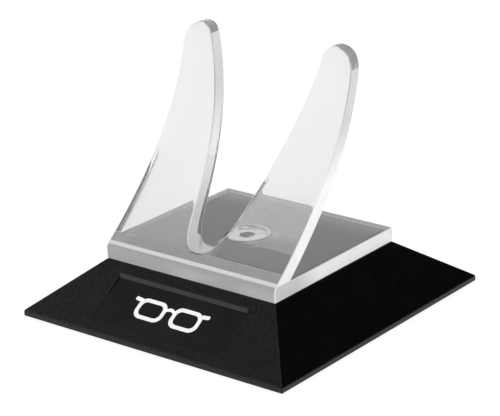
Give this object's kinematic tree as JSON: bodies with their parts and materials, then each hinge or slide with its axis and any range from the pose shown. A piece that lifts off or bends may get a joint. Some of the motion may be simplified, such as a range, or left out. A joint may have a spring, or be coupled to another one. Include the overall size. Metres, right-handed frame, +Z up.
{
  "type": "eyeglasses display stand",
  "caption": "Low black tapered base with a clear acrylic riser whose upswept forked sheet holds glasses by the frame front, with a shallow label recess in the front slope.",
  "frame": {"origin": "on the counter under the middle of the base, at the bottom of the rubber feet", "axes": "+Z up, -Y is the front with the label recess, +X to the right seen from the front; the stand is symmetric left to right about X = 0"},
  "size_m": [0.11, 0.11, 0.091],
  "materials": {
    "black_textured_abs": "fine spark-eroded grain, matt black",
    "black_smooth_panel": "smooth satin black",
    "tape": "foam tape, pale grey",
    "white_print": "white print",
    "clear_acrylic": "clear polished acrylic",
    "bright_bolt": "bright nickel plating",
    "zinc_steel": "zinc plated",
    "black_cover": "matt black",
    "zinc_screw": "zinc plated",
    "foot_rubber": "matt rubber"
  },
  "bodies": {
    "root": {"base_shell": "black_textured_abs", "label_panel": "black_smooth_panel", "label_tape": "tape", "label_emblem": "white_print", "clear_riser": "clear_acrylic", "center_bolt": "bright_bolt", "nut_washer": "zinc_steel", "lock_nut": "zinc_steel", "bottom_cover": "black_cover", "cover_screw_front_left": "zinc_screw", "cover_screw_front_right": "zinc_screw", "cover_screw_back_left": "zinc_screw", "cover_screw_back_right": "zinc_screw", "rubber_foot_front_left": "foot_rubber", "rubber_foot_front_right": "foot_rubber", "rubber_foot_back_left": "foot_rubber", "rubber_foot_back_right": "foot_rubber"}
  },
  "joints": []
}
